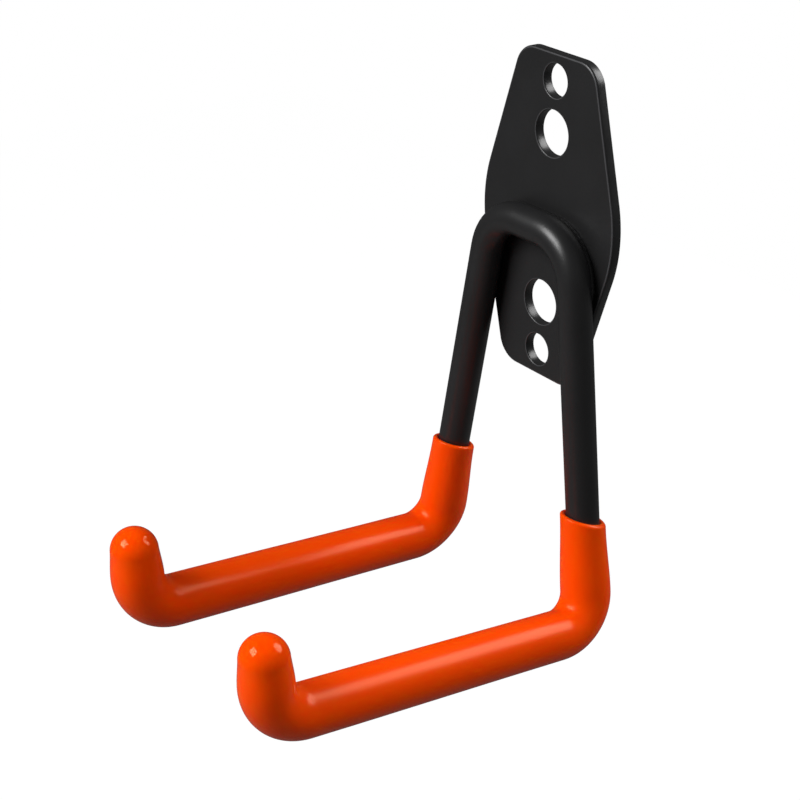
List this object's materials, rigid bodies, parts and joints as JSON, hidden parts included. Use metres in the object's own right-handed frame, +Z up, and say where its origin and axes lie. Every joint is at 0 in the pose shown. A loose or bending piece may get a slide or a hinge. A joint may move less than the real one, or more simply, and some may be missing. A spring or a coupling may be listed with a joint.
{
  "type": "garage utility hook",
  "caption": "Wall hook for ladders, hoses and tools: a round steel bar bent into a U with forward arms, upturned ends and soft dipped coats, welded to a flat screw plate.",
  "frame": {"origin": "middle of the plate's back face, in the plane of the wall", "axes": "+Y goes into the wall and the arms reach towards -Y, +Z is up, +X is to the right seen from the front"},
  "size_m": [0.0702, 0.1045, 0.1397],
  "materials": {
    "black_powder_coat": "satin black powder coat on steel",
    "orange_dip": "smooth semi-gloss dipped soft plastic"
  },
  "bodies": {
    "root": {"mounting_plate": "black_powder_coat", "hook_rod": "black_powder_coat", "weld_bead": "black_powder_coat", "right_coat": "orange_dip", "left_coat": "orange_dip"}
  },
  "joints": []
}
